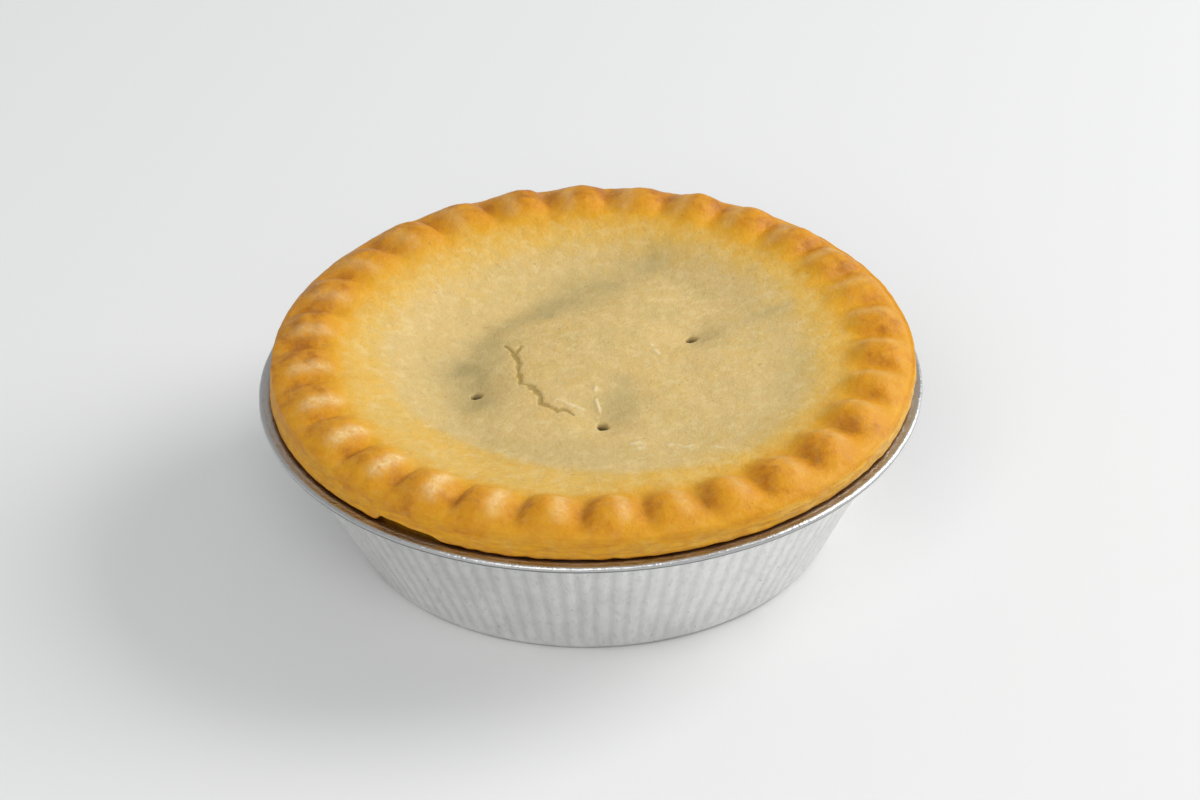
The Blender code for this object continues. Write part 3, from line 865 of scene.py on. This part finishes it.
def browning(radius, angle, share):
    """0 for pale dough, about 0.3 for straw, 0.6 for gold and 1 for brown."""
    front_left = bump(angle_between(angle, GOLD_FRONT_LEFT_AT), GOLD_WIDE)
    back = bump(angle_between(angle, GOLD_BACK_AT), GOLD_WIDE)
    right = bump(angle_between(angle, 0.0), GOLD_NARROW)
    left = bump(angle_between(angle, GOLD_LEFT_AT), GOLD_NARROW)
    start = GOLD_START - GOLD_REACH_FRONT_LEFT * front_left - GOLD_REACH_BACK * back
    start -= GOLD_REACH_RIGHT * right
    start -= GOLD_REACH_LEFT * left
    straw = 0.30 * smoothstep(start, start + 8.0 - 5.0 * front_left, radius)
    gold = (0.30 + 0.09 * back - 0.03 * right + 0.05 * left) * smoothstep(41.0, 50.0, radius)
    between = 0.28 * bump(min(share, 1.0 - share), 0.2) * bump(radius - 52.8, 3.4)
    return straw + gold + between + 0.10 * smoothstep(45.0, 51.0, radius) * ridge(share)


def paleness_and_highlight(radius, angle, share):
    """How pale the flank of a crimp is, partly a lighter bake and partly a painted highlight; it shows most
    at the front left.
    """
    front_left = bump(angle_between(angle, PALE_HIGHLIGHT_AT), PALE_HIGHLIGHT_WIDTH)
    along = smoothstep(45.5, 48.5, radius) * (1.0 - smoothstep(53.0, 56.5, radius))
    return bump(share - PALE_HIGHLIGHT_SHARE, 0.12) * along * (0.3 + 0.7 * front_left)


print("gold on a left crimp:", round(browning(50.0, math.pi, 0.5), 2))

# %% [markdown]
# ## Place each vertex
# Now every vertex of the spun section gets its real place. Its column says which crimp it belongs
# to and how far across it is. Lid vertices are lifted to the sum of all heights, edge vertices are
# roughened into thin layers, as baked dough has them, and the hidden case only gets a colour. The
# vertices are moved by functions, not by a displacement texture, so every height can be measured.

# %% Place each vertex
SOFT_LUMPS = 0.20
SMALL_LUMPS = 0.09
CRIMP_LUMPS = 0.13
PALER_RIGHT_AT = math.radians(-20.0)
PALER_RIGHT_WIDTH = math.radians(60.0)
PALER_LEFT_AT = math.radians(185.0)
PALER_LEFT_WIDTH = math.radians(35.0)


def place_on_lid(vert, x, y, radius, angle, share, added):
    """Lifts a lid vertex to its height and notes how it is baked."""
    drop, hole = vent_drop(x, y)
    opening = crack_opening(x, y)
    flake = flakiness(x, y)
    soft = SOFT_LUMPS * wobble(x, y, 0.0, 9.0, 1.0) + SMALL_LUMPS * wobble(x, y, 0.0, 3.0, 3.0)
    soft += CRIMP_LUMPS * wobble(x, y, 0.0, 1.9, 6.0) * smoothstep(40.0, 48.0, radius)
    # painted shade: how far inside a vent hole the vertex is
    vert[painted_hole_shade] = hole
    vert[cracked] = opening
    vert[flaky] = flake
    vert[browned] = browning(radius, angle, share)
    vert[crest] = smoothstep(45.0, 50.0, radius) * ridge(share)
    vert[pale_and_highlight] = paleness_and_highlight(radius, angle, share)
    vert[damp_and_shade] = damp_and_shade_amount(x, y)
    return lid_height(x, y) + added - drop - CRACK_DEPTH * opening + FLAKE_HEIGHT * flake + soft


for vert in pie.verts:
    x, y, z = vert.co / MM
    radius = math.hypot(x, y)
    column = round(math.atan2(y, x) / (2.0 * math.pi) * columns) % columns
    crimp, step = divmod(column, COLUMNS_IN_CRIMP)
    share = step / COLUMNS_IN_CRIMP
    angle = groove_angle(2.0 * math.pi * (crimp + share) / CRIMPS)
    angle += groove_slant(angle, radius)
    if radius > 0.001:
        x, y = radius * math.cos(angle), radius * math.sin(angle)
    if z > CRUST_UNDERSIDE_Z - 0.1:
        outer = smoothstep(38.0, 52.0, radius) * smoothstep(CRUST_UNDERSIDE_Z - 0.6, 31.0, z)
        x += CRUST_OFFSET[0] * outer
        y += CRUST_OFFSET[1] * outer
    if z > LID_DATUM - 1.0:
        added = crimp_height(radius, share, crimp_strength(crimp, angle))
        z = place_on_lid(vert, x, y, radius, angle, share, added)
    elif z > CRUST_UNDERSIDE_Z - 0.1:
        upper = smoothstep(CRUST_UNDERSIDE_Z, 32.0, z)
        layers = 0.10 * wobble(3.0 * angle, z, 0.0, 0.55, 14.0) + 0.16 * wobble(x, y, 4.0 * z, 2.2, 15.0)
        seam = 0.28 * bump(z - 31.7, 0.35) * smoothstep(-0.2, 0.2, wobble(x, y, 0.0, 9.0, 16.0))
        frayed = 0.22 * max(wobble(x, y, 0.0, 2.2, 17.0), -0.3) * (1.0 - upper)
        z += back_lift(angle) * (0.25 + 0.75 * upper) + underside_rise(angle) * (1.0 - upper) + frayed
        x += (layers - seam) * math.cos(angle)
        y += (layers - seam) * math.sin(angle)
        right = bump(angle_between(angle, PALER_RIGHT_AT), PALER_RIGHT_WIDTH)
        left = bump(angle_between(angle, PALER_LEFT_AT), PALER_LEFT_WIDTH)
        paler = 0.22 * right + 0.08 * left
        vert[browned] = 0.60 - paler + 0.4 * (1.0 - smoothstep(29.0, 29.9, z)) + 0.9 * seam
        vert[side] = 1.0
    else:
        vert[browned] = 0.62
    vert.co = (x * MM, y * MM, z * MM)
bmesh.ops.recalc_face_normals(pie, faces=pie.faces)
print("highest point", round(max(v.co.z for v in pie.verts) / MM, 2), "mm")

# %% [markdown]
# ## Pastry colour
# Baked pastry goes from pale cream to straw, gold and brown as it dries. The mesh already says how
# browned each place is, so a colour ramp turns that into colour, and noises break it up: wide
# clouds, a mottle and fine fibres. Greyish, creamy and dusky patches lie on the lid alone, because
# the crimps are too well baked to show them.

# %% Pastry colour
pastry, tree, shader, place = new_finish("baked_pastry")
clouds = add_noise(tree, place, 14.0, 5.0)
mottle = add_noise(tree, place, 3.0, 4.0)
blotches = add_noise(tree, place, 2.6, 3.0)
fibres = add_noise(tree, place, 1.0, 4.0, 0.65)
grain = add_noise(tree, place, 0.45, 3.0)
brown_here = add_attribute(tree, "browned")
for pattern, change in ((clouds, 0.07), (mottle, 0.08), (fibres, 0.05)):
    change_here = add_range(tree, pattern, 0.3, 0.7, -change, change)
    brown_here = add_math(tree, "ADD", brown_here, change_here)
blotchy = add_range(tree, blotches, 0.42, 0.62, 0.0, 0.10)
crest_patch = add_math(tree, "MULTIPLY", add_attribute(tree, "crest"), blotchy)
brown_here = add_math(tree, "ADD", brown_here, crest_patch, True)
colour = add_ramp(tree, brown_here, [
    (0.0, (0.67, 0.48, 0.195)),
    (0.3, (0.73, 0.45, 0.095)),
    (0.55, (0.71, 0.345, 0.018)),
    (0.78, (0.64, 0.265, 0.010)),
    (1.0, (0.40, 0.13, 0.006)),
])
on_lid = add_range(tree, add_attribute(tree, "browned"), 0.25, 0.5, 1.0, 0.15)
greyer = add_range(tree, add_noise(tree, place, 7.0, 4.0, 0.6), 0.46, 0.64, 0.0, 0.28)
colour = add_tint(tree, colour, (0.52, 0.42, 0.16), add_math(tree, "MULTIPLY", greyer, on_lid))
creamy = add_range(tree, add_noise(tree, place, 2.2, 4.0, 0.65), 0.50, 0.64, 0.0, 0.38)
colour = add_tint(tree, colour, (0.80, 0.62, 0.30), add_math(tree, "MULTIPLY", creamy, on_lid))
dusky = add_range(tree, add_noise(tree, place, 1.7, 5.0, 0.7), 0.53, 0.66, 0.0, 0.30)
colour = add_tint(tree, colour, (0.52, 0.33, 0.10), add_math(tree, "MULTIPLY", dusky, on_lid))
print("the pastry has", len(tree.nodes), "nodes so far")

# %% [markdown]
# ## Pastry marks
# The marks come last, each where the mesh says: grey-green damp that also paints the shade in the
# creases, brown streaks between the layers of the crust's side, pale flanks of the crimps with a
# painted highlight, pale flakes, the dark crack and painted shade in the holes.
# A little light passes under the surface of pastry, and dry crimps shine slightly more than damp
# dough, so the finish ends with subsurface light, gloss and three layers of bump.

# %% Pastry marks
mottled = add_range(tree, mottle, 0.3, 0.7, 0.65, 1.0)
# grey-green damp, which also paints the shade in the creases, the valley and round the vents
damp_and_shade_here = add_math(tree, "MULTIPLY", add_attribute(tree, "damp_and_shade"), mottled)
colour = add_tint(tree, colour, (0.37, 0.30, 0.135), add_range(tree, damp_and_shade_here, 0.0, 1.0, 0.0, 0.78))
layers = add_noise(tree, place, 0.9, 3.0, 0.6, (0.3, 0.3, 1.8))
layer_streaks = add_range(tree, layers, 0.42, 0.64, 0.0, 0.55)
streaked = add_math(tree, "MULTIPLY", add_attribute(tree, "side"), layer_streaks)
colour = add_tint(tree, colour, (0.50, 0.20, 0.035), streaked)
# pale flanks: a lighter bake with a painted highlight on the flank that faces the light, broken up by the
# fibres
fibre_breakup = add_range(tree, fibres, 0.35, 0.6, 0.2, 0.75)
pale_and_highlight_here = add_math(tree, "MULTIPLY", add_attribute(tree, "pale_and_highlight"), fibre_breakup)
colour = add_tint(tree, colour, (0.90, 0.70, 0.36), pale_and_highlight_here)
# each note tints the pastry: pale flakes, the crack's colour, and painted shade in the vent holes
for note, tint, low, high, most in (
    ("flaky", (0.80, 0.65, 0.38), 0.1, 0.8, 0.7),
    ("cracked", (0.33, 0.22, 0.045), 0.1, 0.9, 0.6),
    ("painted_hole_shade", (0.07, 0.045, 0.010), 0.02, 0.4, 0.97),
):
    amount = add_range(tree, add_attribute(tree, note), low, high, 0.0, most)
    colour = add_tint(tree, colour, tint, amount)
specks = add_range(tree, add_noise(tree, place, 1.3, 2.0, 0.5), 0.715, 0.75, 0.0, 0.4)
colour = add_tint(tree, colour, (0.36, 0.20, 0.06), specks)
tree.links.new(colour, shader.inputs["Base Color"])
gloss = add_math(tree, "ADD", brown_here, grain)
tree.links.new(add_range(tree, gloss, 0.5, 1.5, 0.62, 0.38), shader.inputs["Roughness"])
shader.inputs["Subsurface Weight"].default_value = 0.12
shader.inputs["Subsurface Radius"].default_value = (1.0, 0.55, 0.25)
shader.inputs["Subsurface Scale"].default_value = 0.0015
shader.inputs["Specular IOR Level"].default_value = 0.16
add_bump(tree, shader, [(mottle, 0.26), (fibres, 0.20), (grain, 0.08)])
show_piece(pie, "pie_fine", pastry, "pie")
